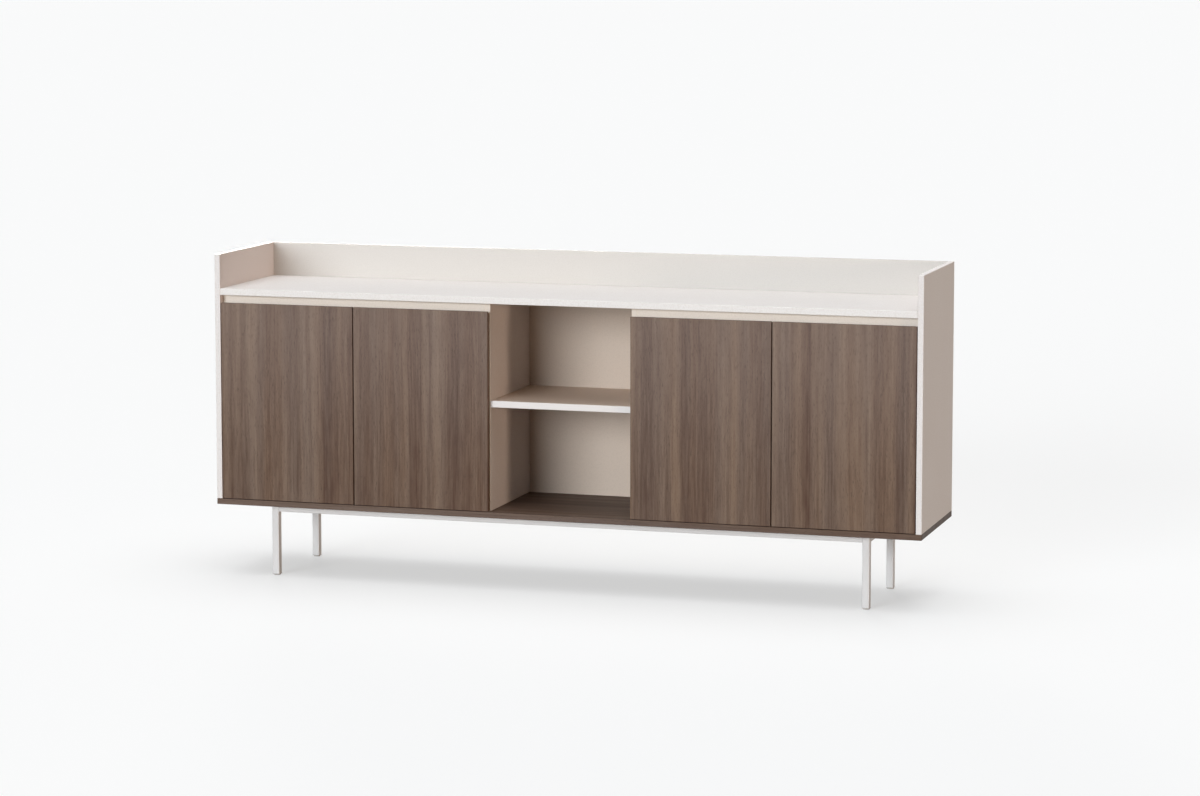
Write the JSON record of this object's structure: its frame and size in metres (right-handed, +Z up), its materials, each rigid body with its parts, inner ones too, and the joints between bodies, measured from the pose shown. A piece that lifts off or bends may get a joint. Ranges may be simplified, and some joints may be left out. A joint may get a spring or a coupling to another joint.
{
  "type": "office side cabinet",
  "caption": "Low side cabinet with hinged doors in pairs, an open niche with a shelf, a raised edge round the top and a slim steel underframe.",
  "frame": {"origin": "centre of the cabinet's footprint, on the floor", "axes": "+Z up, +X along the cabinet to the right seen from the doors, +Y from the doors to the back"},
  "size_m": [2, 0.4, 0.9],
  "materials": {
    "pale_board": "matt lacquered board",
    "walnut_board": "walnut grain, matt",
    "cream_board": "matt lacquered board",
    "frame_paint": "satin powder coat",
    "hinge_steel": "nickel plated",
    "pin_steel": "zinc plated",
    "foot_plastic": "moulded",
    "bumper_rubber": "clear soft",
    "dowel_beech": "plain beech"
  },
  "bodies": {
    "cabinet": {"side_panel_left": "pale_board", "side_panel_right": "pale_board", "bottom_panel": "walnut_board", "worktop": "pale_board", "rear_panel": "pale_board", "divider_left": "pale_board", "divider_right": "pale_board", "inner_back_left": "pale_board", "inner_back_middle": "pale_board", "inner_back_right": "pale_board", "finger_rail_left": "cream_board", "finger_rail_right": "cream_board", "niche_shelf": "pale_board", "shelf_left": "pale_board", "shelf_right": "pale_board", "shelf_pins": "pin_steel", "carcass_dowels": "dowel_beech", "door_bumpers": "bumper_rubber", "rail_front": "frame_paint", "rail_rear": "frame_paint", "rail_left": "frame_paint", "rail_right": "frame_paint", "hinge_arms_left_outer": "hinge_steel", "hinge_plates_left_outer": "hinge_steel", "hinge_arms_left_inner": "hinge_steel", "hinge_plates_left_inner": "hinge_steel", "hinge_arms_right_inner": "hinge_steel", "hinge_plates_right_inner": "hinge_steel", "hinge_arms_right_outer": "hinge_steel", "hinge_plates_right_outer": "hinge_steel", "arm_pins": "pin_steel", "leg_front_left": "frame_paint", "leg_front_right": "frame_paint", "leg_rear_left": "frame_paint", "leg_rear_right": "frame_paint", "leg_inserts": "foot_plastic", "leg_glides": "foot_plastic"},
    "links_left_outer": {"hinge_links_left_outer": "hinge_steel"},
    "doorset_left_outer": {"door_left_outer": "walnut_board", "hinge_cups_left_outer": "hinge_steel", "cup_pins_left_outer": "pin_steel"},
    "links_left_inner": {"hinge_links_left_inner": "hinge_steel"},
    "doorset_left_inner": {"door_left_inner": "walnut_board", "hinge_cups_left_inner": "hinge_steel", "cup_pins_left_inner": "pin_steel"},
    "links_right_inner": {"hinge_links_right_inner": "hinge_steel"},
    "doorset_right_inner": {"door_right_inner": "walnut_board", "hinge_cups_right_inner": "hinge_steel", "cup_pins_right_inner": "pin_steel"},
    "links_right_outer": {"hinge_links_right_outer": "hinge_steel"},
    "doorset_right_outer": {"door_right_outer": "walnut_board", "hinge_cups_right_outer": "hinge_steel", "cup_pins_right_outer": "pin_steel"}
  },
  "joints": [
    {"name": "links_swing_left_outer", "type": "hinge", "parent": "cabinet", "child": "links_left_outer", "pos_m": [-0.946, -0.168, 0.49125], "axis": [0, 0, 1], "range_deg": [0, 33.25]},
    {"name": "door_swing_left_outer", "type": "hinge", "parent": "links_left_outer", "child": "doorset_left_outer", "pos_m": [-0.97, -0.1885, 0.49125], "axis": [0, 0, -1], "range_deg": [0, 128.25]},
    {"name": "links_swing_left_inner", "type": "hinge", "parent": "cabinet", "child": "links_left_inner", "pos_m": [-0.238, -0.168, 0.49125], "axis": [0, 0, -1], "range_deg": [0, 33.25]},
    {"name": "door_swing_left_inner", "type": "hinge", "parent": "links_left_inner", "child": "doorset_left_inner", "pos_m": [-0.214, -0.1885, 0.49125], "axis": [0, 0, 1], "range_deg": [0, 128.25]},
    {"name": "links_swing_right_inner", "type": "hinge", "parent": "cabinet", "child": "links_right_inner", "pos_m": [0.238, -0.168, 0.49125], "axis": [0, 0, 1], "range_deg": [0, 33.25]},
    {"name": "door_swing_right_inner", "type": "hinge", "parent": "links_right_inner", "child": "doorset_right_inner", "pos_m": [0.214, -0.1885, 0.49125], "axis": [0, 0, -1], "range_deg": [0, 128.25]},
    {"name": "links_swing_right_outer", "type": "hinge", "parent": "cabinet", "child": "links_right_outer", "pos_m": [0.946, -0.168, 0.49125], "axis": [0, 0, -1], "range_deg": [0, 33.25]},
    {"name": "door_swing_right_outer", "type": "hinge", "parent": "links_right_outer", "child": "doorset_right_outer", "pos_m": [0.97, -0.1885, 0.49125], "axis": [0, 0, 1], "range_deg": [0, 128.25]}
  ],
  "couplings": [
    {"joint": "links_swing_left_outer", "follows": "door_swing_left_outer", "ratio": 0.25926},
    {"joint": "links_swing_left_inner", "follows": "door_swing_left_inner", "ratio": 0.25926},
    {"joint": "links_swing_right_inner", "follows": "door_swing_right_inner", "ratio": 0.25926},
    {"joint": "links_swing_right_outer", "follows": "door_swing_right_outer", "ratio": 0.25926}
  ]
}
